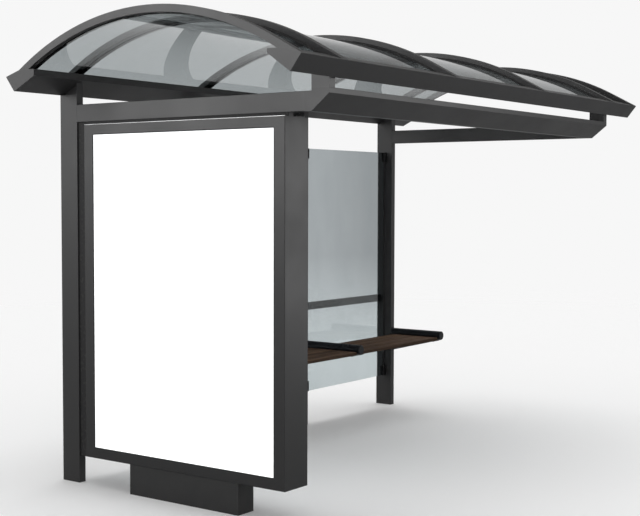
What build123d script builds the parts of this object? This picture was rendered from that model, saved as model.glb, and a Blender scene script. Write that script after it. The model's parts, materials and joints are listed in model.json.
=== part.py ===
from build123d import *
import math
import os

# Bus shelter: a barrel roof on a row of rear posts and an illuminated poster case.
# Millimetres. +X runs along the shelter away from the poster case, +Y towards the
# rear glass, +Z up. The origin is on the ground under the middle of the roof.

# Bays along the shelter
bay = 1140.0  # between post lines, which are also rib lines
bay_count = 3
overhang = 372.0  # roof end beyond the end post line
member_width = 50.0  # width along X of posts, end beams, ribs and stubs
tube_wall = 4.0
edge_radius = 3.0  # rounded long edges of the tubes

# Rear posts
post_height = 2300.0
rear_line_y = 990.0  # rear faces of the posts and bottom corner of the eaves
end_post_depth = 142.0
mid_post_depth = 106.0
post_cap = 6.0
head_plate = 8.0
head_web_end = 16.0  # the web stops this far from the eave corner

# Eaves, as heights above the post tops and distances from the rear line
eave_lip_out = 68.0
eave_lip_rise = 85.0
eave_top_rise = 118.0
arch_foot_in = 45.0
rear_eave_inner_in = 168.0
rear_eave_inner_rise = 80.0
front_eave_inner_in = 140.0
front_eave_inner_rise = 97.0
eave_wall = 4.0
eave_radius = 2.0
cap_thickness = 4.0

# Arched ribs and roof sheets
arch_rise = 280.0  # above the eave tops
arch_lean = 20.0  # the crown stands this far in front of the middle
arch_depth = 40.0
arch_wall = 4.0
end_arch_width = 44.0
toe_tip = 6.0  # the toe of an arch stops this far behind the front eave's lip
sheet_thickness = 6.0
sheet_gap = 0.3  # between the curved faces of the sheets and the ribs above them
sheet_clearance = 0.4  # above and below a sheet in its eave grooves
sheet_joint = 4.0  # between two sheets under a rib
sheet_lap = 12.0  # under the end arches
eave_groove = 8.0

# Lower frame
beam_drop = 60.0  # end beam tops below the post tops
beam_height = 103.0
front_beam_in = 18.0  # front face behind the bottom corner of the front eave
front_beam_depth = 156.0
front_face_height = 28.0
front_upstand = 13.0  # front part of the front beam above the end beams
stub_depth = 111.0  # also the depth of the upstand and of the sloping face below it

# Rear glass, clamps and back rail
glass_thickness = 10.0
glass_bottom_z = 242.0
glass_top_drop = 237.0  # below the post tops
glass_side_gap = 8.0
clamp_height = 76.0
clamp_depth = 44.0
clamp_reach = 34.0
clamp_slot_clearance = 0.3
clamp_chamfer = 5.0
rail_bottom_z = 848.0
rail_height = 56.0
rail_depth = 27.0
rail_wall = 3.0
rail_setback = 6.0  # in front of the rear line

# Bench, carried by the last posts of the row
seat_top_z = 585.0
seat_setback = 26.0  # last slat in front of the end posts
slat_width = 97.5
slat_gap = 10.0
slat_count = 4
slat_thickness = 22.0
slat_radius = 4.0
slat_end_gap = 2.0  # to the side of an arm
arm_radius = 34.5
arm_wall = 4.0
arm_nose_out = 18.0  # beyond the front slat
arm_nose_chamfer = 5.0
arm_nose_plate = 9.0
arm_clearance = 0.3  # above the plate that carries the slats
bracket_plate = 8.0
bracket_reach = 42.0  # under the slats, from the side of an arm
bracket_drop = 110.0
bracket_leg_width = 50.0
bracket_front_setback = 16.0
bench_first_post = 1  # counted from 0 at the poster case

# Poster case
case_overrun = 29.0  # outer face beyond the end beam
case_depth = 200.0
case_centre_y = 22.0
case_width = 1474.0
case_bottom_z = 173.5
case_top_gap = 19.0  # to the end beam
case_wall = 5.0
door_thickness = 28.0
door_edge_radius = 3.0
door_side = 70.0
door_head = 55.0
door_sill = 59.5
door_lip = 3.0
rebate_width = 11.0
pane_clearance = 0.4
pane_thickness = 5.0
poster_thickness = 4.0
plinth_setback = 4.5
plinth_depth = 130.0
plinth_width = 803.0
plinth_offset_y = -18.5  # from the middle of the case
plinth_wall = 5.0
hanger_width = 36.0
hanger_end_gap = 2.0

# Lines that follow from those sizes
post_count = bay_count + 1
row_half = bay * bay_count / 2
post_x = [i * bay - row_half for i in range(post_count)]
frame_half = row_half + member_width / 2
roof_half = row_half + overhang
end_arch_x = roof_half - end_arch_width / 2

eave_top_z = post_height + eave_top_rise
arch_foot_y = rear_line_y - arch_foot_in
arch_half_span = arch_foot_y + arch_lean
arch_radius = (arch_half_span**2 + arch_rise**2) / (2 * arch_rise)
arch_centre_z = eave_top_z + arch_rise - arch_radius
arch_inner_radius = arch_radius - arch_depth
sheet_radius = arch_inner_radius - sheet_gap
lip_y = -rear_line_y - eave_lip_out
lip_z = post_height + eave_lip_rise

beam_top_z = post_height - beam_drop
beam_bottom_z = beam_top_z - beam_height
front_top_z = beam_top_z + front_upstand
front_face_y = front_beam_in - rear_line_y
front_back_y = front_face_y + stub_depth
front_inner_y = front_face_y + front_beam_depth
end_post_front_y = rear_line_y - end_post_depth
glass_y = rear_line_y - end_post_depth / 2
glass_top_z = post_height - glass_top_drop
slat_pitch = slat_width + slat_gap
seat_front_y = end_post_front_y - seat_setback - slat_count * slat_pitch + slat_gap
seat_bottom_z = seat_top_z - slat_thickness
arm_centre_z = seat_bottom_z + arm_clearance + arm_radius
arm_nose_y = seat_front_y - arm_nose_out
case_top_z = beam_bottom_z - case_top_gap
case_outer_x = -frame_half - case_overrun
case_inner_x = case_outer_x + case_depth


def is_end_post(index):
    return index in (0, post_count - 1)


def post_front_y(index):
    """Front face of a post."""
    depth = end_post_depth if is_end_post(index) else mid_post_depth
    return rear_line_y - depth


def rear_underside_z(y):
    """Height of the sloping underside of the rear eave."""
    return post_height + rear_eave_inner_rise * (rear_line_y - y) / rear_eave_inner_in


def front_underside_z(y):
    """Height of the sloping underside of the front eave."""
    return post_height + front_eave_inner_rise * (rear_line_y + y) / front_eave_inner_in


def block(x0, x1, y0, y1, z0, z1):
    """A plain box between two corners."""
    centre = Pos((x0 + x1) / 2, (y0 + y1) / 2, (z0 + z1) / 2)
    return centre * Box(x1 - x0, y1 - y0, z1 - z0)


def along_x(face, x0, x1):
    """A profile drawn in Y and Z, extruded from x0 to x1."""
    return extrude(Plane((x0, 0, 0), x_dir=(0, 1, 0), z_dir=(1, 0, 0)) * face, amount=x1 - x0)


def polygon(points):
    """A closed profile through its corners."""
    return make_face(Polyline(*points, close=True))


def ring_above(outer_radius, inner_radius, bottom_z):
    """Part of a ring about the roof's axis, above a level."""
    ring = Circle(outer_radius) - Circle(inner_radius)
    low = bottom_z - arch_centre_z
    keep = Pos(0, low + outer_radius / 2) * Rectangle(2 * outer_radius, outer_radius)
    return Pos(-arch_lean, arch_centre_z) * (ring & keep)


def save(node, shape):
    """Writes one sub-part to its own file."""
    shape.label = node
    export_step(shape, f"parts/{node}.step")


# Rear posts and their heads


def rear_post(index):
    """A rectangular tube with a closed top."""
    depth = rear_line_y - post_front_y(index)
    centre = Pos(post_x[index], rear_line_y - depth / 2, 0)
    outer = extrude(centre * RectangleRounded(member_width, depth, edge_radius), amount=post_height)
    hollow_size = (member_width - 2 * tube_wall, depth - 2 * tube_wall)
    hollow = extrude(centre * Rectangle(*hollow_size), amount=post_height - post_cap)
    return outer - hollow


def post_head(index):
    """A plate at the front edge of a post top, with a web under the sloping eave."""
    x = post_x[index]
    front = post_front_y(index)
    back = front + head_plate
    web_end = rear_line_y - head_web_end
    plate = polygon(
        [
            (front, post_height),
            (back, post_height),
            (back, rear_underside_z(back)),
            (front, rear_underside_z(front)),
        ]
    )
    web = polygon(
        [
            (back, post_height),
            (web_end, post_height),
            (web_end, rear_underside_z(web_end)),
            (back, rear_underside_z(back)),
        ]
    )
    wide = along_x(plate, x - member_width / 2, x + member_width / 2)
    thin = along_x(web, x - head_plate / 2, x + head_plate / 2)
    return wide + thin


# Roof


def eave_corners(inner_in, inner_rise):
    """Corners of an eave's section, from its bottom corner outwards, drawn for the rear."""
    return [
        (rear_line_y, post_height),
        (rear_line_y + eave_lip_out, lip_z),
        (arch_foot_y, eave_top_z),
        (rear_line_y - inner_in, eave_top_z),
        (rear_line_y - inner_in, post_height + inner_rise),
    ]


def eave_outline(inner_in, inner_rise):
    """An eave's section with its free corners eased."""
    face = polygon(eave_corners(inner_in, inner_rise))
    free = [v for v in face.vertices() if v.Y < eave_top_z - 1]
    return fillet(free, eave_radius)


def eave_section(inner_in, inner_rise):
    """An eave's hollow section, thick enough at the top for the roof sheets' groove."""
    corners = polygon(eave_corners(inner_in, inner_rise))
    hollow = offset(corners, amount=-eave_wall, kind=Kind.INTERSECTION)
    hollow_top = eave_top_z - eave_groove - eave_wall
    keep = Pos(rear_line_y, hollow_top - eave_top_rise) * Rectangle(4 * inner_in, 2 * eave_top_rise)
    return eave_outline(inner_in, inner_rise) - (hollow & keep)


def eave(section):
    """An eave between its end caps, grooved for the feet of the sheets."""
    end = roof_half - cap_thickness
    groove = ring_above(
        sheet_radius + sheet_clearance,
        sheet_radius - sheet_thickness - sheet_clearance,
        eave_top_z - eave_groove,
    )
    groove_half = roof_half - end_arch_width + sheet_lap + sheet_clearance
    return along_x(section, -end, end) - along_x(groove, -groove_half, groove_half)


def arch_toe():
    """The straight toe of an arch, which leaves the curve at a tangent and runs down to the front lip."""
    out_y = lip_y + arch_lean
    out_z = lip_z - arch_centre_z
    turn = math.atan2(out_z, out_y) - math.acos(arch_radius / math.hypot(out_y, out_z))
    leave_y = arch_radius * math.cos(turn) - arch_lean
    leave_z = arch_radius * math.sin(turn) + arch_centre_z
    slope = (leave_z - lip_z) / (leave_y - lip_y)
    ledge = (eave_top_z - lip_z) / (-arch_foot_y - lip_y)
    inner_y = -arch_lean - math.sqrt(arch_inner_radius**2 - (eave_top_z - arch_centre_z) ** 2)
    return polygon(
        [
            (leave_y, leave_z),
            (lip_y + toe_tip, lip_z + slope * toe_tip),
            (lip_y + toe_tip, lip_z + ledge * toe_tip),
            (-arch_foot_y, eave_top_z),
            (inner_y, eave_top_z),
        ]
    )


def arch(centre_x, width):
    """A rolled hollow rib whose feet stand on the eaves."""
    band = ring_above(arch_radius, arch_inner_radius, eave_top_z) + arch_toe()
    void = ring_above(arch_radius - arch_wall, arch_inner_radius + arch_wall, eave_top_z)
    half = width / 2
    void_half = half - arch_wall
    return along_x(band, centre_x - half, centre_x + half) - along_x(void, centre_x - void_half, centre_x + void_half)


def roof_sheet(index):
    """A curved clear sheet under the ribs, with its feet in both eaves."""
    left = -roof_half + end_arch_width - sheet_lap
    right = -left
    if index > 0:
        left = post_x[index - 1] + sheet_joint / 2
    if index < post_count:
        right = post_x[index] - sheet_joint / 2
    band = ring_above(sheet_radius, sheet_radius - sheet_thickness, eave_top_z - eave_groove)
    return along_x(band, left, right)


# Lower frame


def front_beam_outline():
    """The front beam's section: an upstand with an upright face above a sloping one."""
    return polygon(
        [
            (front_face_y, front_top_z),
            (front_face_y, front_top_z - front_face_height),
            (front_back_y, beam_bottom_z),
            (front_inner_y, beam_bottom_z),
            (front_inner_y, beam_top_z),
            (front_back_y, beam_top_z),
            (front_back_y, front_top_z),
        ]
    )


def front_beam_face():
    """The front beam's section with its outer corners eased."""
    face = front_beam_outline()
    free = [v for v in face.vertices() if v.X < front_back_y - 1 or v.X > front_back_y + 1 or v.Y < beam_top_z - 1]
    return fillet(free, eave_radius)


def front_beam():
    """The front beam, hollow, between its two end caps."""
    hollow = offset(front_beam_outline(), amount=-tube_wall, kind=Kind.INTERSECTION)
    end = frame_half - cap_thickness
    return along_x(front_beam_face() - hollow, -end, end)


def end_beam(centre_x, index):
    """A rectangular tube from an end post to the front beam."""
    size_y = post_front_y(index) - front_inner_y
    section = RectangleRounded(member_width, beam_height, edge_radius)
    section -= Rectangle(member_width - 2 * tube_wall, beam_height - 2 * tube_wall)
    start = Plane((centre_x, front_inner_y, beam_bottom_z + beam_height / 2), x_dir=(1, 0, 0), z_dir=(0, 1, 0))
    return extrude(start * section, amount=size_y)


def roof_stub(centre_x):
    """A short tube from the front beam up to the sloping underside of the front eave."""
    middle_y = front_face_y + stub_depth / 2
    section = Rectangle(member_width, stub_depth)
    section -= Rectangle(member_width - 2 * tube_wall, stub_depth - 2 * tube_wall)
    tube = extrude(Pos(centre_x, middle_y, front_top_z) * section, amount=eave_top_z - front_top_z)
    below = polygon(
        [
            (front_face_y, front_top_z),
            (front_back_y, front_top_z),
            (front_back_y, front_underside_z(front_back_y)),
            (front_face_y, front_underside_z(front_face_y)),
        ]
    )
    return tube & along_x(below, centre_x - member_width, centre_x + member_width)


def end_caps():
    """Cap plates that close the eaves and the front beam."""
    rear = eave_outline(rear_eave_inner_in, rear_eave_inner_rise)
    front = mirror(eave_outline(front_eave_inner_in, front_eave_inner_rise), about=Plane.YZ)
    beam = front_beam_face()
    plates = []
    for face, end in ((rear, roof_half), (front, roof_half), (beam, frame_half)):
        plates.append(along_x(face, -end, -end + cap_thickness))
        plates.append(along_x(face, end - cap_thickness, end))
    return Compound(children=plates)


# Rear glass


def bay_faces(index):
    """The two post faces that a bay lies between."""
    return post_x[index] + member_width / 2, post_x[index + 1] - member_width / 2


def rear_glass(index):
    """One toughened pane."""
    left, right = bay_faces(index)
    half = glass_thickness / 2
    return block(
        left + glass_side_gap, right - glass_side_gap, glass_y - half, glass_y + half, glass_bottom_z, glass_top_z
    )


def glass_clamp(face_x, side, bottom_z):
    """A clamp on a post face, slotted for the edge of a pane."""
    far = face_x + side * clamp_reach
    plan = Pos((face_x + far) / 2, glass_y, bottom_z) * Rectangle(clamp_reach, clamp_depth)
    body = extrude(plan, amount=clamp_height)
    nose = body.edges().filter_by(Axis.Z).sort_by(Axis.X)
    nose = nose[-2:] if side > 0 else nose[:2]
    body = chamfer(nose, clamp_chamfer)
    slot_half = glass_thickness / 2 + clamp_slot_clearance
    slot_from = face_x + side * glass_side_gap
    slot_to = far + side
    slot = block(
        min(slot_from, slot_to), max(slot_from, slot_to), glass_y - slot_half, glass_y + slot_half,
        bottom_z, bottom_z + clamp_height,
    )
    return body - slot


def glass_clamps():
    """Four clamps for each pane."""
    clamps = []
    for index in range(bay_count):
        left, right = bay_faces(index)
        for face_x, side in ((left, 1), (right, -1)):
            for bottom_z in (glass_bottom_z, glass_top_z - clamp_height):
                clamps.append(glass_clamp(face_x, side, bottom_z))
    return Compound(children=clamps)


def back_rail():
    """A rail behind the glass, one length in each bay."""
    rear = rear_line_y - rail_setback
    section = Rectangle(rail_depth, rail_height) - Rectangle(rail_depth - 2 * rail_wall, rail_height - 2 * rail_wall)
    section = Pos(rear - rail_depth / 2, rail_bottom_z + rail_height / 2) * section
    return Compound(children=[along_x(section, *bay_faces(index)) for index in range(bay_count)])


# Bench


def bench_arm(index):
    """A round tube from a post along the ends of the slats, closed by a rounded nose."""
    root_y = post_front_y(index)
    length = root_y - arm_nose_y
    outer = Cylinder(arm_radius, length, align=(Align.CENTER, Align.CENTER, Align.MIN))
    outer = chamfer(outer.edges().sort_by(Axis.Z)[-1], arm_nose_chamfer)
    bore_length = length - arm_nose_plate
    bore = Cylinder(arm_radius - arm_wall, bore_length, align=(Align.CENTER, Align.CENTER, Align.MIN))
    root = Plane((post_x[index], root_y, arm_centre_z), x_dir=(1, 0, 0), z_dir=(0, -1, 0))
    return root * (outer - bore)


def bench_bracket(index):
    """A plate under an arm and the slat ends beside it, with a leg on the post and a gusset."""
    x = post_x[index]
    front = seat_front_y + bracket_front_setback
    root = post_front_y(index)
    top = seat_bottom_z
    half = bracket_leg_width / 2
    reach = arm_radius + bracket_reach
    left = reach if index > bench_first_post else half
    right = reach if index < post_count - 1 else half
    shelf = block(x - left, x + right, front, root, top - bracket_plate, top)
    leg = block(x - half, x + half, root - bracket_plate, root, top - bracket_drop, top)
    gusset = polygon(
        [
            (front + bracket_plate, top - bracket_plate),
            (root - bracket_plate, top - bracket_plate),
            (root - bracket_plate, top - bracket_drop),
        ]
    )
    return shelf + leg + along_x(gusset, x - bracket_plate / 2, x + bracket_plate / 2)


def slat(x0, x1, row):
    """One bench slat with eased top edges; rows count from the front."""
    y0 = seat_front_y + row * slat_pitch
    board = block(x0, x1, y0, y0 + slat_width, seat_bottom_z, seat_top_z)
    long_edges = board.edges().filter_by(Axis.X).sort_by(Axis.Z)
    return fillet(long_edges[-2:], slat_radius)


def seat_slats():
    """Rows of slats between each pair of arms."""
    side = arm_radius + slat_end_gap
    boards = []
    for index in range(bench_first_post, bay_count):
        left = post_x[index] + side
        right = post_x[index + 1] - side
        boards += [slat(left, right, row) for row in range(slat_count)]
    return Compound(children=boards)


# Poster case


def case_ring(x0, x1, inset, hole_inset_side, hole_inset_head, hole_inset_sill):
    """A flat frame between two planes, with a rectangular hole."""
    y0 = case_centre_y - case_width / 2 + inset
    y1 = case_centre_y + case_width / 2 - inset
    z0 = case_bottom_z + inset
    z1 = case_top_z - inset
    body = block(x0, x1, y0, y1, z0, z1)
    return body - block(
        x0 - 1, x1 + 1, y0 + hole_inset_side, y1 - hole_inset_side, z0 + hole_inset_sill, z1 - hole_inset_head
    )


def case_body():
    """The deep frame between the two doors."""
    return case_ring(
        case_outer_x + door_thickness, case_inner_x - door_thickness, 0, case_wall, case_wall, case_wall
    )


def window_block(x0, x1, margin):
    """A box over the poster window, larger by a margin all round."""
    y0 = case_centre_y - case_width / 2 + door_side - margin
    y1 = case_centre_y + case_width / 2 - door_side + margin
    z0 = case_bottom_z + door_sill - margin
    z1 = case_top_z - door_head + margin
    return block(x0, x1, y0, y1, z0, z1)


def door_layers(face_x, inward):
    """The door, its pane and its poster, from a face of the case inwards."""
    back = face_x + inward * door_thickness
    lip = face_x + inward * door_lip
    pane_back = lip + inward * pane_thickness
    poster_back = pane_back + inward * poster_thickness
    door = case_ring(min(face_x, back), max(face_x, back), 0, door_side, door_head, door_sill)
    rim = door.faces().sort_by(Axis.X)[0 if inward > 0 else -1].outer_wire().edges()
    door = fillet(rim, door_edge_radius)
    door -= window_block(min(lip, back), max(lip, back), rebate_width)
    fit = rebate_width - pane_clearance
    pane = window_block(min(lip, pane_back), max(lip, pane_back), fit)
    poster = window_block(min(pane_back, poster_back), max(pane_back, poster_back), fit)
    return door, pane, poster


def case_plinth():
    """A hollow foot, open at the ground."""
    x0 = case_outer_x + plinth_setback
    x1 = x0 + plinth_depth
    centre_y = case_centre_y + plinth_offset_y
    y0 = centre_y - plinth_width / 2
    y1 = centre_y + plinth_width / 2
    wall = plinth_wall
    return block(x0, x1, y0, y1, 0, case_bottom_z) - block(
        x0 + wall, x1 - wall, y0 + wall, y1 - wall, -1, case_bottom_z - wall
    )


def case_hanger():
    """A bar between the top of the case and the end beam."""
    half = hanger_width / 2
    x = post_x[0]
    reach = case_width / 2 - hanger_end_gap
    return block(x - half, x + half, case_centre_y - reach, case_centre_y + reach, case_top_z, beam_bottom_z)


# Writing the sub-parts

os.makedirs("parts", exist_ok=True)

for i in range(post_count):
    save(f"rear_post_{i + 1}", rear_post(i))
save("post_heads", Compound(children=[post_head(i) for i in range(post_count)]))

front_section = mirror(eave_section(front_eave_inner_in, front_eave_inner_rise), about=Plane.YZ)
save("eave_rear", eave(eave_section(rear_eave_inner_in, rear_eave_inner_rise)))
save("eave_front", eave(front_section))
save("end_arch_near", arch(-end_arch_x, end_arch_width))
save("end_arch_far", arch(end_arch_x, end_arch_width))
for i in range(post_count):
    save(f"roof_rib_{i + 1}", arch(post_x[i], member_width))
for i in range(post_count + 1):
    save(f"roof_sheet_{i + 1}", roof_sheet(i))

save("front_beam", front_beam())
save("end_beam_near", end_beam(post_x[0], 0))
save("end_beam_far", end_beam(post_x[-1], post_count - 1))
save("roof_stub_near", roof_stub(post_x[0]))
save("roof_stub_far", roof_stub(post_x[-1]))
save("end_caps", end_caps())

for i in range(bay_count):
    save(f"rear_glass_{i + 1}", rear_glass(i))
save("glass_clamps", glass_clamps())
save("back_rail", back_rail())

for i in range(bench_first_post, post_count):
    save(f"bench_arm_{i}", bench_arm(i))
save("bench_brackets", Compound(children=[bench_bracket(i) for i in range(bench_first_post, post_count)]))
save("seat_slats", seat_slats())

save("case_body", case_body())
outer_layers = door_layers(case_outer_x, 1)
inner_layers = door_layers(case_inner_x, -1)
for name, layers in (("outer", outer_layers), ("inner", inner_layers)):
    save(f"case_door_{name}", layers[0])
    save(f"door_glass_{name}", layers[1])
    save(f"poster_{name}", layers[2])
save("case_plinth", case_plinth())
save("case_hanger", case_hanger())
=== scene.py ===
import json
import math

import bmesh
import bpy
from mathutils import Matrix, Vector


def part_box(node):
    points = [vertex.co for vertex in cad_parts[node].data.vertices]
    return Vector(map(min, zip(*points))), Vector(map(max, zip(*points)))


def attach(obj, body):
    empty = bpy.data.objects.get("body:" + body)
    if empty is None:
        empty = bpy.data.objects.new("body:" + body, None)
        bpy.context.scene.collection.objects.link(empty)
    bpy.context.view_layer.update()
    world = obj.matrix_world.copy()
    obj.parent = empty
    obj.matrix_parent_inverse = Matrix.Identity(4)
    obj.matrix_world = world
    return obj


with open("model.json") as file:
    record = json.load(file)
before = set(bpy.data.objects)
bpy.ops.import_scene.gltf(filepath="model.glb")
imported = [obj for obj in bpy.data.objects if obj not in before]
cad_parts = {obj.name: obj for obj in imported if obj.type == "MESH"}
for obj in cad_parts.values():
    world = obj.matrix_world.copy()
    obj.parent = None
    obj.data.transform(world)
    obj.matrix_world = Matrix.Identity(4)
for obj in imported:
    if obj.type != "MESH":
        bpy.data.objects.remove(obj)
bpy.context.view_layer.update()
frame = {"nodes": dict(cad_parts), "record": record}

# Paints, metals and rubber
ANTHRACITE = (0.056, 0.056, 0.057, 1.0)
ROOF_ANTHRACITE = (0.047, 0.047, 0.048, 1.0)
ARM_BLUE_BLACK = (0.014, 0.015, 0.018, 1.0)
CLAMP_BLACK = (0.008, 0.008, 0.009, 1.0)
# Lighter edge colour: partly paint wear, partly a painted highlight on sharp edges.
WORN_AND_HIGHLIT_EDGE = (0.130, 0.130, 0.128, 1.0)
STREET_DUST = (0.240, 0.230, 0.215, 1.0)
RUBBER_BLACK = (0.030, 0.030, 0.031, 1.0)
SCREW_BLACK = (0.020, 0.020, 0.021, 1.0)
SATIN_ALUMINIUM = (0.450, 0.452, 0.456, 1.0)

# Panes, sheets and the poster
PANE_GREY_TOP = (0.318, 0.352, 0.366, 1.0)
PANE_GREY_FOOT = (0.535, 0.595, 0.610, 1.0)
PANE_SMEAR = (1.0, 1.0, 1.0, 1.0)
ROOF_GREY = (0.405, 0.440, 0.450, 1.0)
ROOF_STAIN = (0.330, 0.352, 0.350, 1.0)
CLEAR_ACRYLIC = (0.985, 0.990, 0.990, 1.0)
HAZY_ACRYLIC = (0.960, 0.965, 0.970, 1.0)
POSTER_WHITE = (0.900, 0.900, 0.900, 1.0)
POSTER_FIBRE = (0.880, 0.885, 0.890, 1.0)

# Wood
WOOD_DARK = (0.056, 0.035, 0.023, 1.0)
WOOD_LIGHT = (0.235, 0.148, 0.100, 1.0)
WOOD_PORE = (0.026, 0.014, 0.010, 1.0)

# Room
WHITE_ROOM = (0.930, 0.930, 0.930, 1.0)
DIM_CEILING = (0.200, 0.200, 0.200, 1.0)
LAMP_WHITE = (1.0, 1.0, 1.0, 1.0)
FLOOR_WHITE = (0.850, 0.850, 0.850, 1.0)
FLOOR_MIRRORED = (0.640, 0.640, 0.640, 1.0)
FLOOR_BOUNCE = (0.360, 0.360, 0.360, 1.0)

# Sizes in metres that the pieces made here share with the frame
BAY = 1.140
SLAT_PITCH = 0.1075
SLAT_GAP = 0.010
SLAT_ROWS = 4
SLAT_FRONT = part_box("seat_slats")[0].y - SLAT_GAP / 2
SLAT_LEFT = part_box("rear_post_2")[0].x

# Glass clamps: their height, half their depth, their length along the pane, and the gap from post to pane
CLAMP_HEIGHT = 0.076
CLAMP_HALF_DEPTH = 0.022
CLAMP_REACH = 0.034
PANE_GAP = 0.008

# The roof's arc: the ribs' depth, how far the crown leans to the front, and where the ribs meet the eaves
ARCH_DEPTH = 0.040
ARCH_LEAN = 0.020
ARCH_FOOT_Y = 0.945
EAVE_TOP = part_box("eave_rear")[1].z
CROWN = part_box("roof_rib_1")[1].z
ARCH_RISE = CROWN - EAVE_TOP
ARCH_RADIUS = ((ARCH_FOOT_Y + ARCH_LEAN) ** 2 + ARCH_RISE**2) / (2 * ARCH_RISE)
ARCH_AXIS = Vector((0.0, -ARCH_LEAN, CROWN - ARCH_RADIUS))

# Case doors: from the door's edges to its window, and from its face in to the pane
DOOR_SIDE = 0.070
DOOR_HEAD = 0.055
DOOR_SILL = 0.0595
DOOR_LIP = 0.003

# Bench brackets: their plate, how far they hang under the seat, and from an arm's side to the slat screws
BRACKET_PLATE = 0.008
BRACKET_DROP = 0.110
SHELF_REACH = 0.022


# ---- node helpers ----


def feed(tree, socket, value):
    """Gives an input a number or a colour, or links it to another node's output."""
    if isinstance(value, bpy.types.NodeSocket):
        tree.links.new(value, socket)
    else:
        socket.default_value = value


def put(tree, kind, feeds=None, **settings):
    """Adds one shader node; feeds maps its input names to values or to other nodes' sockets."""
    made = tree.nodes.new(kind)
    for name, value in settings.items():
        setattr(made, name, value)
    for name, value in (feeds or {}).items():
        feed(tree, made.inputs[name], value)
    return made


def calc(tree, operation, *values):
    """One Math node; a socket or a number for each of its inputs."""
    made = put(tree, "ShaderNodeMath", operation=operation)
    for socket, value in zip(made.inputs, values):
        feed(tree, socket, value)
    return made.outputs[0]


def spread(tree, value, source, target=(0.0, 1.0), smooth=False):
    """Maps a value from the source range to the target range, clamped."""
    made = put(tree, "ShaderNodeMapRange", {
        "Value": value,
        "From Min": source[0],
        "From Max": source[1],
        "To Min": target[0],
        "To Max": target[1],
    }, interpolation_type="SMOOTHSTEP" if smooth else "LINEAR")
    return made.outputs["Result"]


def blend_colour(tree, share, first, second):
    """A colour between two, by a share that changes over the surface."""
    made = put(tree, "ShaderNodeMix", data_type="RGBA")
    for name, value in (("Factor", share), ("A", first), ("B", second)):
        feed(tree, [s for s in made.inputs if s.name == name and s.enabled][0], value)
    return [s for s in made.outputs if s.enabled][0]


def noise(tree, where, scale, detail, roughness=0.5, distortion=0.0):
    """Cloudy noise from 0 to 1."""
    return put(tree, "ShaderNodeTexNoise", {
        "Vector": where,
        "Scale": scale,
        "Detail": detail,
        "Roughness": roughness,
        "Distortion": distortion,
    }).outputs["Fac"]


def split(tree, vector):
    """The X, Y and Z of a vector."""
    return put(tree, "ShaderNodeSeparateXYZ", {"Vector": vector}).outputs


def facing(tree):
    """The direction that the surface faces."""
    return put(tree, "ShaderNodeNewGeometry").outputs["Normal"]


def place_of(tree, scale=(1, 1, 1)):
    """Object coordinates through a Mapping node."""
    where = put(tree, "ShaderNodeTexCoord").outputs["Object"]
    return put(tree, "ShaderNodeMapping", {"Vector": where, "Scale": scale}).outputs["Vector"]


def start_group(name, inputs, outputs):
    """An empty shader group with sockets for plain numbers; gives the tree and its two end nodes."""
    tree = bpy.data.node_groups.new(name, "ShaderNodeTree")
    for label, value in inputs.items():
        made = tree.interface.new_socket(name=label, in_out="INPUT", socket_type="NodeSocketFloat")
        made.default_value = value
    for label in outputs:
        tree.interface.new_socket(name=label, in_out="OUTPUT", socket_type="NodeSocketFloat")
    return tree, tree.nodes.new("NodeGroupInput"), tree.nodes.new("NodeGroupOutput")


def use_group(tree, group, **values):
    """Places a group in a material with its own values; underscores stand for spaces."""
    made = put(tree, "ShaderNodeGroup", node_tree=group)
    for label, value in values.items():
        feed(tree, made.inputs[label.replace("_", " ")], value)
    return made.outputs


# ---- effects that finishes share ----


def make_peel_group():
    """The fine orange peel of a sprayed coat, with broad patches of sheen."""
    tree, start, end = start_group(
        "Sprayed Coat",
        {"Grain": 420.0, "Patch": 3.0, "Low": 0.36, "High": 0.50},
        ("Height", "Roughness"),
    )
    where = place_of(tree)
    peel = noise(tree, where, start.outputs["Grain"], detail=2.0, roughness=0.55)
    patch = noise(tree, where, start.outputs["Patch"], detail=5.0, roughness=0.6)
    sheen = spread(tree, patch, (0.3, 0.7), (start.outputs["Low"], start.outputs["High"]))
    tree.links.new(peel, end.inputs["Height"])
    tree.links.new(sheen, end.inputs["Roughness"])
    return tree


def make_dust_group():
    """Dust that settles on faces that look up, and splash near the ground."""
    tree, start, end = start_group(
        "Settled Dust",
        {"Amount": 0.25, "Splash": 0.20, "Splash Height": 0.35},
        ("Mask",),
    )
    up = spread(tree, split(tree, facing(tree))["Z"], (0.35, 1.0))
    where = place_of(tree)
    cloud = noise(tree, where, scale=9.0, detail=6.0, roughness=0.65)
    cloud = spread(tree, cloud, (0.35, 0.75), (0.2, 1.0))
    height = split(tree, where)["Z"]
    near_ground = spread(tree, height, (0.0, start.outputs["Splash Height"]), (1.0, 0.0), smooth=True)
    lying = calc(tree, "MULTIPLY", calc(tree, "MULTIPLY", up, cloud), start.outputs["Amount"])
    splash = calc(tree, "MULTIPLY", calc(tree, "MULTIPLY", near_ground, cloud), start.outputs["Splash"])
    tree.links.new(calc(tree, "MAXIMUM", lying, splash), end.inputs["Mask"])
    return tree


def make_edge_group():
    """Paint lighter along sharp edges, in broken stretches: partly paint wear, partly a painted highlight on
    the edges.
    """
    tree, start, end = start_group("Worn And Highlit Edges", {"Radius": 0.003, "Amount": 0.35}, ("Mask",))
    rounded = put(tree, "ShaderNodeBevel", {"Radius": start.outputs["Radius"]}, samples=4).outputs["Normal"]
    same = put(tree, "ShaderNodeVectorMath", {0: rounded, 1: facing(tree)}, operation="DOT_PRODUCT")
    edge = spread(tree, same.outputs["Value"], (0.99, 0.80))
    broken = noise(tree, place_of(tree), scale=14.0, detail=6.0)
    rubbed_and_highlit = calc(tree, "MULTIPLY", edge, spread(tree, broken, (0.42, 0.62), (0.25, 1.0)))
    tree.links.new(calc(tree, "MULTIPLY", rubbed_and_highlit, start.outputs["Amount"]), end.inputs["Mask"])
    return tree


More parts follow.
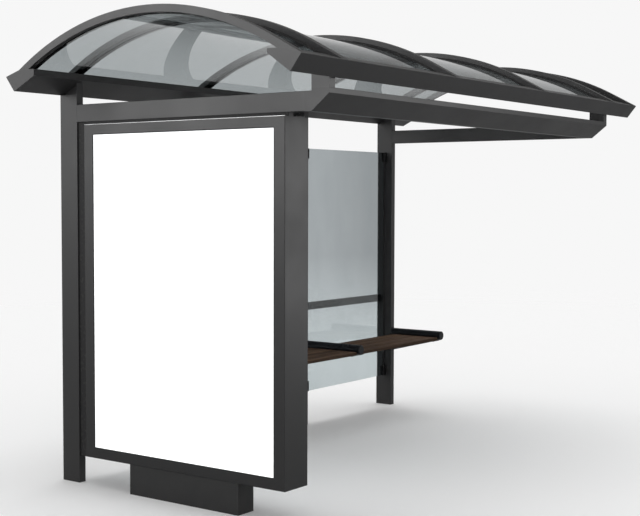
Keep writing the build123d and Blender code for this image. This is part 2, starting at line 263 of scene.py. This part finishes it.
def make_streak_group():
    """Long faint streaks down the curve of the roof, as rain and dust leave them."""
    tree, start, end = start_group("Rain Streaks", {"Across": 38.0, "Along": 1.6}, ("Mask",))
    along = start.outputs["Along"]
    size = put(tree, "ShaderNodeCombineXYZ", {"X": start.outputs["Across"], "Y": along, "Z": along})
    where = put(
        tree, "ShaderNodeVectorMath", {0: place_of(tree), 1: size.outputs["Vector"]}, operation="MULTIPLY",
    )
    lines = noise(tree, where.outputs["Vector"], scale=1.0, detail=5.0, roughness=0.65)
    tree.links.new(spread(tree, lines, (0.42, 0.70)), end.inputs["Mask"])
    return tree


sprayed_coat = make_peel_group()
settled_dust = make_dust_group()
rubbed_and_highlit_edges = make_edge_group()
rain_streaks = make_streak_group()


# ---- finishes ----


def new_material(name, **principled):
    """A material with one Principled shader; gives it, its tree and the shader."""
    made = bpy.data.materials.new(name)
    made.use_nodes = True
    tree = made.node_tree
    shader = tree.nodes["Principled BSDF"]
    for label, value in principled.items():
        shader.inputs[label.replace("_", " ")].default_value = value
    return made, tree, shader


def give_bump(tree, shader, height, strength, distance):
    """Lets a height that changes over the surface tilt the shading."""
    made = put(tree, "ShaderNodeBump", {"Height": height, "Strength": strength, "Distance": distance})
    tree.links.new(made.outputs["Normal"], shader.inputs["Normal"])


def coat_finish(name, colour, sheen, dust, splash, grain=420.0, peel=0.10):
    """Powder coat: orange peel, patches of sheen, dust on ledges and splash at the foot."""
    duller_by_dirt = 0.3
    made, tree, shader = new_material(name, IOR=1.5, Specular_IOR_Level=0.25)
    coat = use_group(tree, sprayed_coat, Grain=grain, Low=sheen[0], High=sheen[1])
    dirt = use_group(tree, settled_dust, Amount=dust, Splash=splash)["Mask"]
    # Lighter sharp edges: partly paint wear, partly a painted highlight.
    worn_and_highlit = use_group(tree, rubbed_and_highlit_edges, Radius=0.003, Amount=0.35)["Mask"]
    painted = blend_colour(tree, worn_and_highlit, colour, WORN_AND_HIGHLIT_EDGE)
    tree.links.new(blend_colour(tree, dirt, painted, STREET_DUST), shader.inputs["Base Color"])
    rough = calc(tree, "ADD", coat["Roughness"], calc(tree, "MULTIPLY", dirt, duller_by_dirt))
    tree.links.new(rough, shader.inputs["Roughness"])
    give_bump(tree, shader, coat["Height"], strength=peel, distance=0.0006)
    return made


def wood_finish():
    """Oiled hardwood: each board has its own tone and its own run of grain, and its upright sides are
    darkened as painted shade.
    """
    bay_step = 7.0
    board_jump = (9.0, 9.0, 9.0)
    made, tree, shader = new_material("Oiled hardwood", IOR=1.48, Specular_IOR_Level=0.08)
    where = split(tree, place_of(tree))
    across = calc(tree, "DIVIDE", calc(tree, "SUBTRACT", where["Y"], SLAT_FRONT), SLAT_PITCH)
    along = calc(tree, "DIVIDE", calc(tree, "SUBTRACT", where["X"], SLAT_LEFT), BAY)
    bay = calc(tree, "FLOOR", along)
    board = calc(tree, "ADD", calc(tree, "FLOOR", across), calc(tree, "MULTIPLY", bay, bay_step))
    chance = put(tree, "ShaderNodeTexWhiteNoise", {"W": board}, noise_dimensions="1D").outputs
    shift = put(
        tree, "ShaderNodeVectorMath", {0: chance["Color"], 1: board_jump}, operation="MULTIPLY",
    ).outputs["Vector"]

    def streaky(stretch, detail, distortion=0.0):
        run = put(
            tree, "ShaderNodeVectorMath", {0: place_of(tree, scale=stretch), 1: shift}, operation="ADD",
        ).outputs["Vector"]
        return noise(tree, run, scale=1.0, detail=detail, roughness=0.65, distortion=distortion)

    bands = streaky((1.2, 26.0, 26.0), 3.0, 0.5)
    grain = streaky((5.0, 150.0, 150.0), 6.0, 0.8)
    pores = spread(tree, streaky((30.0, 900.0, 900.0), 2.0), (0.56, 0.70), (0.0, 0.7))
    tone = calc(tree, "ADD", calc(tree, "MULTIPLY", bands, 0.6), calc(tree, "MULTIPLY", grain, 0.4))
    tone = spread(tree, tone, (0.40, 0.62), (0.0, 0.75))
    tone = calc(tree, "ADD", tone, calc(tree, "MULTIPLY", chance["Value"], 0.25))
    # Painted shade: faces that stand upright, the sides of the boards, are blended towards the dark wood
    # colour.
    level = calc(tree, "ABSOLUTE", split(tree, facing(tree))["Z"])
    side = spread(tree, level, (0.9, 0.2), (0.0, 0.75))
    colour = blend_colour(tree, side, blend_colour(tree, tone, WOOD_DARK, WOOD_LIGHT), WOOD_DARK)
    tree.links.new(blend_colour(tree, pores, colour, WOOD_PORE), shader.inputs["Base Color"])
    tree.links.new(spread(tree, grain, (0.3, 0.7), (0.60, 0.80)), shader.inputs["Roughness"])
    give_bump(tree, shader, calc(tree, "SUBTRACT", grain, pores), strength=0.3, distance=0.0008)
    return made


def pane_finish():
    """Grey toughened glass with faint smears, paler towards its foot."""
    made, tree, shader = new_material("Grey tinted glass", IOR=1.5, Transmission_Weight=1.0)
    smear = noise(tree, place_of(tree, scale=(1.0, 1.0, 0.35)), scale=5.0, detail=5.0, roughness=0.6)
    tree.links.new(spread(tree, smear, (0.45, 0.75), (0.0, 0.02)), shader.inputs["Roughness"])
    height = split(tree, place_of(tree))["Z"]
    tint = blend_colour(tree, spread(tree, height, (0.55, 1.25)), PANE_GREY_FOOT, PANE_GREY_TOP)
    tint = blend_colour(tree, spread(tree, smear, (0.3, 0.8), (0.0, 0.06)), tint, PANE_SMEAR)
    tree.links.new(tint, shader.inputs["Base Color"])
    return made


def sheet_finish():
    """Grey polycarbonate, with streaks of rain and dust and a faint ripple."""
    stain_strength = 0.35
    made, tree, shader = new_material(
        "Grey polycarbonate", IOR=1.44, Roughness=0.0, Transmission_Weight=1.0,
    )
    streak = use_group(tree, rain_streaks)["Mask"]
    fleck = noise(tree, place_of(tree), scale=30.0, detail=4.0)
    stained = calc(tree, "MULTIPLY", streak, spread(tree, fleck, (0.35, 0.65), (0.3, 1.0)))
    tint = blend_colour(tree, calc(tree, "MULTIPLY", stained, stain_strength), ROOF_GREY, ROOF_STAIN)
    tree.links.new(tint, shader.inputs["Base Color"])
    ripple = noise(tree, place_of(tree, scale=(1.0, 0.4, 0.4)), scale=6.0, detail=1.0)
    give_bump(tree, shader, ripple, strength=0.04, distance=0.002)
    return made


def acrylic_finish():
    """Clear acrylic with a hardly visible haze."""
    made, tree, shader = new_material("Clear acrylic", IOR=1.45, Transmission_Weight=1.0)
    haze = noise(tree, place_of(tree), scale=5.0, detail=5.0)
    tree.links.new(spread(tree, haze, (0.45, 0.75), (0.0, 0.02)), shader.inputs["Roughness"])
    tree.links.new(blend_colour(tree, haze, CLEAR_ACRYLIC, HAZY_ACRYLIC), shader.inputs["Base Color"])
    return made


def rubber_finish():
    """Matt black rubber with a dusty bloom."""
    made, tree, shader = new_material("Black rubber", IOR=1.5, Specular_IOR_Level=0.2)
    bloom = noise(tree, place_of(tree), scale=60.0, detail=5.0)
    dusty = spread(tree, bloom, (0.5, 0.8), (0.0, 0.2))
    tree.links.new(blend_colour(tree, dusty, RUBBER_BLACK, STREET_DUST), shader.inputs["Base Color"])
    tree.links.new(spread(tree, bloom, (0.3, 0.7), (0.60, 0.80)), shader.inputs["Roughness"])
    give_bump(tree, shader, bloom, strength=0.08, distance=0.0004)
    return made


def metal_finish(name, colour, sheen):
    """Brushed metal, drawn along its length."""
    line_shade = 0.8
    made, tree, shader = new_material(name, Metallic=1.0)
    drawn = noise(tree, place_of(tree, scale=(300.0, 4.0, 300.0)), scale=1.0, detail=3.0)
    darker = tuple(line_shade * part for part in colour[:3]) + (1.0,)
    tree.links.new(blend_colour(tree, drawn, colour, darker), shader.inputs["Base Color"])
    tree.links.new(spread(tree, drawn, (0.3, 0.7), sheen), shader.inputs["Roughness"])
    give_bump(tree, shader, drawn, strength=0.05, distance=0.0002)
    return made


def poster_finish():
    """The bare diffusing panel in front of the lamps."""
    made, tree, shader = new_material("Bare diffuser", Emission_Strength=0.55)
    fibre = noise(tree, place_of(tree), scale=260.0, detail=3.0)
    tone = blend_colour(tree, fibre, POSTER_WHITE, POSTER_FIBRE)
    tree.links.new(tone, shader.inputs["Base Color"])
    tree.links.new(tone, shader.inputs["Emission Color"])
    tree.links.new(spread(tree, fibre, (0.3, 0.7), (0.5, 0.6)), shader.inputs["Roughness"])
    give_bump(tree, shader, fibre, strength=0.05, distance=0.0003)
    return made


finishes = {
    "frame_paint": coat_finish(
        "Anthracite powder coat", ANTHRACITE, sheen=(0.36, 0.46), dust=0.10, splash=0.05,
    ),
    "roof_paint": coat_finish(
        "Roof powder coat", ROOF_ANTHRACITE, sheen=(0.36, 0.46), dust=0.15, splash=0.0,
    ),
    "arm_paint": coat_finish(
        "Arm paint", ARM_BLUE_BLACK, sheen=(0.25, 0.35), dust=0.05, splash=0.0, grain=600.0, peel=0.05,
    ),
    "clamp_black": coat_finish(
        "Clamp black", CLAMP_BLACK, sheen=(0.45, 0.60), dust=0.05, splash=0.05,
    ),
    "rear_pane": pane_finish(),
    "roof_clear": sheet_finish(),
    "door_pane": acrylic_finish(),
    "poster_white": poster_finish(),
    "slat_wood": wood_finish(),
}

for row in frame["record"]["subparts"]:
    for material_slot in frame["nodes"][row["node"]].material_slots:
        material_slot.material = finishes[row["material_slot"]]

rubber = rubber_finish()
screw_black = metal_finish("Blackened screw", SCREW_BLACK, sheen=(0.35, 0.50))
aluminium = metal_finish("Satin aluminium", SATIN_ALUMINIUM, sheen=(0.25, 0.40))


# ---- helpers for seals, screws and trim ----


def add_piece(name, form, finish):
    """Makes a named piece of a finished form; it belongs to the shelter's one body."""
    bmesh.ops.recalc_face_normals(form, faces=form.faces)
    mesh = bpy.data.meshes.new(name)
    form.to_mesh(mesh)
    form.free()
    mesh.materials.append(finish)
    piece = bpy.data.objects.new(name, mesh)
    bpy.context.scene.collection.objects.link(piece)
    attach(piece, "root")


def points_in(geometry):
    """The points among an operator's results."""
    return [part for part in geometry if isinstance(part, bmesh.types.BMVert)]


def edges_of(points):
    """Every edge that ends at one of the points, once."""
    return list(dict.fromkeys(edge for point in points for edge in point.link_edges))


def ease_edges(form, edges, width, segments=2):
    """Bevels edges and gives the new points."""
    return bmesh.ops.bevel(
        form, geom=edges, offset=width, segments=segments, profile=0.5, affect="EDGES", material=-1,
    )["verts"]


def stand_on(place, along):
    """The turn and shift that stand a form on place with its Z along a vector."""
    return Matrix.Translation(place) @ Vector(along).to_track_quat("Z", "Y").to_matrix().to_4x4()


def raise_faces(form, faces, run):
    """Extrudes faces along a vector; the faces that were there stay, and close the form."""
    made = bmesh.ops.extrude_face_region(form, geom=faces)["geom"]
    bmesh.ops.translate(form, vec=run, verts=points_in(made))


def add_bar(form, low, high, ease):
    """A bar between two corners, with eased edges."""
    size = [b - a for a, b in zip(low, high)]
    centre = [(a + b) / 2 for a, b in zip(low, high)]
    verts = bmesh.ops.create_cube(form, size=1.0)["verts"]
    bmesh.ops.scale(form, vec=size, verts=verts)
    bmesh.ops.translate(form, vec=centre, verts=verts)
    ease_edges(form, edges_of(verts), ease)


def add_screw(form, place, along, radius):
    """A round-headed screw with a hexagon socket; it sits on place and its head looks along a vector."""
    height = radius * 0.55
    socket_floor = height * 0.45
    half_across_flats = radius * 0.43
    profile = ((radius * 0.72, 1.0), (radius * 0.93, 0.68), (radius, 0.0))
    head = bmesh.ops.create_circle(form, cap_ends=True, segments=18, radius=1.0)["verts"]
    for vert in head:
        turn = math.atan2(vert.co.y, vert.co.x) % (math.pi / 3) - math.pi / 6
        reach = half_across_flats / math.cos(turn)
        vert.co = (vert.co.x * reach, vert.co.y * reach, socket_floor)
    rim = edges_of(head)
    for reach, level in ((None, 1.0), *profile):
        grown = bmesh.ops.extrude_edge_only(form, edges=rim)["geom"]
        ring = points_in(grown)
        rim = [part for part in grown if isinstance(part, bmesh.types.BMEdge)]
        for vert in ring:
            outward = Vector((vert.co.x, vert.co.y, 0.0))
            if reach:
                outward = outward.normalized() * reach
            vert.co = outward + Vector((0, 0, height * level))
        head += ring
    bmesh.ops.holes_fill(form, edges=rim, sides=0)
    bmesh.ops.transform(form, matrix=stand_on(place, along), verts=head)


def add_hexagon_bolt(form, place, along, width):
    """A bolt head on its washer, standing on place and pointing along a vector."""
    washer = width * 0.10
    for segments, radius, foot, height in (
        (24, width * 0.62, 0.0, washer),
        (6, width / 2, washer, width * 0.42),
    ):
        made = bmesh.ops.create_cone(
            form, cap_ends=True, segments=segments, radius1=radius, radius2=radius * 0.97, depth=height,
        )["verts"]
        bmesh.ops.translate(form, vec=(0, 0, foot + height / 2), verts=made)
        top = foot + height * 0.9
        rim = [edge for edge in edges_of(made) if all(vert.co.z > top for vert in edge.verts)]
        eased = ease_edges(form, rim, width * 0.03)
        whole = {vert for vert in made if vert.is_valid} | set(eased)
        bmesh.ops.transform(form, matrix=stand_on(place, along), verts=list(whole))


def add_arch_strip(form, section, steps=64):
    """Sweeps a section, given as x and radius, round the roof's axis from one eave to the other."""
    lowest = min(radius for _, radius in section)
    reach = math.acos((EAVE_TOP - ARCH_AXIS.z) / lowest)
    verts = [form.verts.new((x, ARCH_AXIS.y, ARCH_AXIS.z + radius)) for x, radius in section]
    face = form.faces.new(verts)
    bmesh.ops.rotate(form, cent=ARCH_AXIS, matrix=Matrix.Rotation(-reach, 3, "X"), verts=verts)
    bmesh.ops.spin(
        form, geom=[face, *face.edges, *face.verts], cent=ARCH_AXIS, axis=(1, 0, 0),
        angle=2 * reach, steps=steps, use_merge=False,
    )


# ---- seals, screws and trim ----


def pane_edges():
    """Each upright edge of a rear pane: the post face beside it, the way into the pane, the pane's box."""
    for number in (1, 2, 3):
        low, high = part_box(f"rear_glass_{number}")
        yield low.x - PANE_GAP, 1, low, high
        yield high.x + PANE_GAP, -1, low, high


def make_pane_channels():
    """Sprayed channels between the posts and the panes, from clamp to clamp."""
    lip = 0.003
    lap = 0.006
    form = bmesh.new()
    for face_x, side, low, high in pane_edges():
        edge_x = face_x + side * PANE_GAP
        lap_x = edge_x + side * lap
        foot = low.z + CLAMP_HEIGHT
        head = high.z - CLAMP_HEIGHT
        outline = (
            (face_x, low.y - lip), (lap_x, low.y - lip), (lap_x, low.y), (edge_x, low.y),
            (edge_x, high.y), (lap_x, high.y), (lap_x, high.y + lip), (face_x, high.y + lip),
        )
        profile = form.faces.new([form.verts.new((x, y, foot)) for x, y in outline])
        raise_faces(form, [profile], (0, 0, head - foot))
    add_piece("pane_channels", form, finishes["frame_paint"])


def make_clamp_screws():
    """Two screws on the front and the back of each glass clamp."""
    spacing = 0.020
    head_radius = 0.0065
    form = bmesh.new()
    for face_x, side, low, high in pane_edges():
        x = face_x + side * CLAMP_REACH / 2
        middle_y = (low.y + high.y) / 2
        for middle_z in (low.z + CLAMP_HEIGHT / 2, high.z - CLAMP_HEIGHT / 2):
            for z in (middle_z - spacing, middle_z + spacing):
                for way in (-1, 1):
                    place = (x, middle_y + way * CLAMP_HALF_DEPTH, z)
                    add_screw(form, place, (0, way, 0), head_radius)
    add_piece("clamp_screws", form, screw_black)


def make_rib_gaskets():
    """Rubber beads along both sides of each rib, pressed on the roof sheets."""
    bead = 0.011
    shoulder = bead * 0.7
    sheet_top = ARCH_RADIUS - ARCH_DEPTH
    sides = []
    for number in (1, 2, 3, 4):
        low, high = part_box(f"roof_rib_{number}")
        sides += [(low.x, -1), (high.x, 1)]
    sides += [(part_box("end_arch_near")[1].x, 1), (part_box("end_arch_far")[0].x, -1)]
    form = bmesh.new()
    for x, side in sides:
        add_arch_strip(form, (
            (x, sheet_top),
            (x + side * bead, sheet_top),
            (x + side * shoulder, sheet_top + shoulder),
            (x, sheet_top + bead),
        ))
    add_piece("rib_gaskets", form, rubber)


def make_window_gaskets():
    """A thin rubber frame round the window of each door, lying on the pane."""
    width = 0.005
    thickness = 0.002
    ease = 0.0004
    sharp_angle = 0.5
    form = bmesh.new()
    for node, face, outward in (("case_door_outer", 0, -1), ("case_door_inner", 1, 1)):
        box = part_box(node)
        low, high = box
        x = box[face].x - outward * DOOR_LIP
        rings = []
        for inset in (0.0, width):
            near = low.y + DOOR_SIDE + inset
            far = high.y - DOOR_SIDE - inset
            sill = low.z + DOOR_SILL + inset
            head = high.z - DOOR_HEAD - inset
            corners = ((near, sill), (far, sill), (far, head), (near, head))
            rings.append([form.verts.new((x, y, z)) for y, z in corners])
        outer, inner = rings
        flat = [form.faces.new((outer[i - 1], outer[i], inner[i], inner[i - 1])) for i in range(4)]
        raise_faces(form, flat, (outward * thickness, 0, 0))
    sharp = [edge for edge in form.edges if edge.calc_face_angle(0) > sharp_angle]
    ease_edges(form, sharp, ease, segments=1)
    add_piece("window_gaskets", form, rubber)


def make_case_trim():
    """What closes the joints round the case: black seals beside its hanger, partly real seals and partly
    painted shade for the gap above the case, a filler to the rear post, a rail.
    """
    hanger_low, hanger_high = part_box("case_hanger")
    case_low, case_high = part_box("case_door_outer")
    post_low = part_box("rear_post_1")[0]

    # Black seals beside the hanger: partly real seals, partly painted shade for the dark gap above the case.
    seal = 0.006
    form = bmesh.new()
    for x in (hanger_low.x - seal, hanger_high.x):
        add_bar(form, (x, hanger_low.y, hanger_low.z), (x + seal, hanger_high.y, hanger_high.z), ease=0.001)
    add_piece("case_top_seals_and_gap_shade", form, rubber)

    setback = 0.010
    skirt = 0.012
    thickness = 0.022
    front = post_low.x + setback
    form = bmesh.new()
    add_bar(
        form, (front, case_high.y, case_low.z - skirt), (front + thickness, post_low.y, hanger_high.z),
        ease=0.0015,
    )
    add_piece("case_filler", form, rubber)

    proud = 0.0006
    end_gap = 0.002
    depth = 0.009
    sunk = 0.0008
    above = 0.0012
    form = bmesh.new()
    add_bar(
        form, (case_low.x - proud, case_low.y + end_gap, case_high.z - sunk),
        (case_low.x + depth, case_high.y - end_gap, case_high.z + above), ease=0.0004,
    )
    add_piece("case_drip_rail", form, aluminium)


def make_bench_fixings():
    """Bolts through the legs of the brackets, and screws up into the slats."""
    bolt_offset = 0.015
    bolt_lifts = (0.020, 0.060)
    bolt_width = 0.013
    screw_offset = 0.024
    screw_radius = 0.006
    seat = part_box("seat_slats")[0]
    bolts = bmesh.new()
    screws = bmesh.new()
    for number, sides in ((1, (1,)), (2, (-1, 1)), (3, (-1,))):
        arm_low, arm_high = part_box(f"bench_arm_{number}")
        centre_x = (arm_low.x + arm_high.x) / 2
        for x in (centre_x - bolt_offset, centre_x + bolt_offset):
            for lift in bolt_lifts:
                place = (x, arm_high.y - BRACKET_PLATE, seat.z - BRACKET_DROP + lift)
                add_hexagon_bolt(bolts, place, (0, -1, 0), bolt_width)
        for side in sides:
            edge_x = arm_high.x if side > 0 else arm_low.x
            for row in range(SLAT_ROWS):
                centre_y = seat.y + (SLAT_PITCH - SLAT_GAP) / 2 + row * SLAT_PITCH
                for y in (centre_y - screw_offset, centre_y + screw_offset):
                    place = (edge_x + side * SHELF_REACH, y, seat.z - BRACKET_PLATE)
                    add_screw(screws, place, (0, 0, -1), screw_radius)
    add_piece("bracket_bolts", bolts, screw_black)
    add_piece("slat_screws", screws, screw_black)


def make_arm_welds():
    """The bead of weld where each arm meets its post."""
    leg = 0.005
    bite = 0.0005
    form = bmesh.new()
    for number in (1, 2, 3):
        low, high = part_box(f"bench_arm_{number}")
        axis = Vector(((low.x + high.x) / 2, high.y, (low.z + high.z) / 2))
        radius = (high.x - low.x) / 2
        section = (
            (0, 0, radius - bite),
            (0, 0, radius + leg),
            (0, -leg * 0.5, radius + leg * 0.6),
            (0, -leg, radius - bite),
        )
        bead = [form.verts.new(axis + Vector(step)) for step in section]
        loop = [form.edges.new((bead[i - 1], bead[i])) for i in range(len(bead))]
        bmesh.ops.spin(
            form, geom=[*bead, *loop], cent=axis, axis=(0, 1, 0), angle=math.tau, steps=48, use_merge=True,
        )
    bmesh.ops.remove_doubles(form, verts=form.verts, dist=1e-5)
    add_piece("arm_welds", form, finishes["arm_paint"])


make_pane_channels()
make_clamp_screws()
make_rib_gaskets()
make_window_gaskets()
make_case_trim()
make_bench_fixings()
make_arm_welds()


# ---- room, lamps and camera ----


def seen_directly(tree, kinds):
    """1 for rays of these kinds that no matt surface has scattered yet, else 0."""
    rays = put(tree, "ShaderNodeLightPath").outputs
    shown = rays[kinds[0]]
    for kind in kinds[1:]:
        shown = calc(tree, "MAXIMUM", shown, rays[kind])
    first = calc(tree, "LESS_THAN", rays["Diffuse Depth"], 0.5)
    return calc(tree, "MULTIPLY", shown, first)


def join_shaders(tree, kind, first, second, **feeds):
    """Adds or mixes two shaders."""
    made = put(tree, kind, feeds)
    tree.links.new(first.outputs[0], made.inputs[-2])
    tree.links.new(second.outputs[0], made.inputs[-1])
    return made


def build_world(strength):
    """A white room, dimmer where gloss shows its ceiling and far end; strength is the light that it gives."""
    ceiling_slope = (0.08, 0.46)
    wall_slope = (0.26, 0.14)
    far_end_slope = (0.81, 0.91)
    world = bpy.data.worlds.new("Studio")
    bpy.context.scene.world = world
    world.use_nodes = True
    tree = world.node_tree
    tree.nodes.clear()
    towards = split(tree, put(tree, "ShaderNodeTexCoord").outputs["Generated"])
    ceiling = spread(tree, towards["Z"], ceiling_slope)
    wall = spread(tree, towards["Z"], wall_slope)
    far_end = calc(tree, "MULTIPLY", spread(tree, towards["X"], far_end_slope), wall)
    dim = calc(tree, "MAXIMUM", ceiling, far_end)
    dim = calc(tree, "MULTIPLY", dim, seen_directly(tree, ["Is Glossy Ray"]))
    tone = blend_colour(tree, dim, WHITE_ROOM, DIM_CEILING)
    shown = put(tree, "ShaderNodeBackground", {"Color": tone, "Strength": 1.0})
    light = put(tree, "ShaderNodeBackground", {"Color": LAMP_WHITE, "Strength": strength})
    kinds = ["Is Camera Ray", "Is Transmission Ray", "Is Glossy Ray"]
    room = join_shaders(tree, "ShaderNodeMixShader", light, shown, Fac=seen_directly(tree, kinds))
    out = put(tree, "ShaderNodeOutputWorld")
    tree.links.new(room.outputs[0], out.inputs["Surface"])


def build_floor(radius, fade_from):
    """A round pale floor that fades into the room; mirrors show it a little darker than the camera does."""
    glow = 0.12
    fade_to = radius * 0.98
    form = bmesh.new()
    bmesh.ops.create_circle(form, cap_ends=True, segments=96, radius=radius)
    mesh = bpy.data.meshes.new("floor")
    form.to_mesh(mesh)
    form.free()
    floor = bpy.data.objects.new("floor", mesh)
    bpy.context.scene.collection.objects.link(floor)
    made = bpy.data.materials.new("Pale floor")
    made.use_nodes = True
    tree = made.node_tree
    tree.nodes.clear()
    mirrored = seen_directly(tree, ["Is Singular Ray"])
    shown = seen_directly(tree, ["Is Camera Ray", "Is Transmission Ray"])
    tone = blend_colour(tree, mirrored, FLOOR_BOUNCE, FLOOR_MIRRORED)
    tone = blend_colour(tree, shown, tone, FLOOR_WHITE)
    matt = put(tree, "ShaderNodeBsdfDiffuse", {"Color": tone})
    pale = put(tree, "ShaderNodeEmission", {
        "Color": WHITE_ROOM,
        "Strength": calc(tree, "MULTIPLY", shown, glow),
    })
    ground = join_shaders(tree, "ShaderNodeAddShader", matt, pale)
    gone = put(tree, "ShaderNodeBsdfTransparent")
    where = put(tree, "ShaderNodeTexCoord").outputs["Object"]
    away = put(tree, "ShaderNodeVectorMath", {"Vector": where}, operation="LENGTH").outputs["Value"]
    share = spread(tree, away, (fade_from, fade_to), smooth=True)
    fading = join_shaders(tree, "ShaderNodeMixShader", ground, gone, Fac=share)
    out = put(tree, "ShaderNodeOutputMaterial")
    tree.links.new(fading.outputs[0], out.inputs["Surface"])
    mesh.materials.append(made)


def leave_panes_out():
    """The glass and the sheets, as a set of things that the softboxes don't light."""
    panes = bpy.data.collections.new("Panes")
    for row in frame["record"]["subparts"]:
        if row["material_slot"] in ("rear_pane", "roof_clear", "door_pane"):
            panes.objects.link(frame["nodes"][row["node"]])
    for member in panes.collection_objects:
        member.light_linking.link_state = "EXCLUDE"
    return panes


def add_lamp(name, kind, turn):
    """A lamp of one kind, turned; gives its object and its data."""
    data = bpy.data.lights.new(name, kind)
    lamp = bpy.data.objects.new(name, data)
    bpy.context.scene.collection.objects.link(lamp)
    lamp.rotation_mode = "QUATERNION"
    lamp.rotation_quaternion = turn
    return lamp, data


def softbox(name, place, target, width, height, power, left_out):
    """A white panel that only the gloss of paint, metal and wood shows."""
    turn = (Vector(target) - Vector(place)).to_track_quat("-Z", "Y")
    lamp, data = add_lamp(name, "AREA", turn)
    data.shape = "RECTANGLE"
    data.size = width
    data.size_y = height
    data.energy = power
    lamp.location = place
    lamp.visible_camera = False
    lamp.visible_diffuse = False
    lamp.visible_transmission = False
    lamp.light_linking.receiver_collection = left_out


def overhead(towards, spread_angle, strength):
    """One very soft light from above, which no gloss shows."""
    lamp, data = add_lamp("overhead", "SUN", Vector(towards).to_track_quat("Z", "Y"))
    data.angle = math.radians(spread_angle)
    data.energy = strength
    lamp.visible_glossy = False


build_world(strength=0.565)
build_floor(radius=16.0, fade_from=5.0)
panes = leave_panes_out()
softbox(
    "end_softbox", place=(-6.2, 2.5, 3.3), target=(-1.8, 0.0, 3.3), width=4.8, height=3.1, power=288.0,
    left_out=panes,
)
softbox(
    "front_softbox", place=(2.66, -4.18, 2.3), target=(-1.74, -0.88, 2.3), width=1.75, height=3.7, power=90.0,
    left_out=panes,
)
overhead(towards=(0.21, 0.06, 1.0), spread_angle=58.0, strength=1.28)

camera_data = bpy.data.cameras.new("camera")
camera_data.lens = 68.913
camera_data.sensor_width = 36.0
camera_data.clip_start = 0.1
camera_data.clip_end = 100.0
camera = bpy.data.objects.new("camera", camera_data)
bpy.context.scene.collection.objects.link(camera)
camera.matrix_world = Matrix((
    (0.5878, 0.0391, -0.8080, -6.7375),
    (-0.8090, 0.0314, -0.5870, -4.5512),
    (0.0024, 0.9987, 0.0501, 1.7050),
    (0.0, 0.0, 0.0, 1.0),
))
bpy.context.scene.camera = camera
bpy.context.scene.view_settings.view_transform = "Standard"
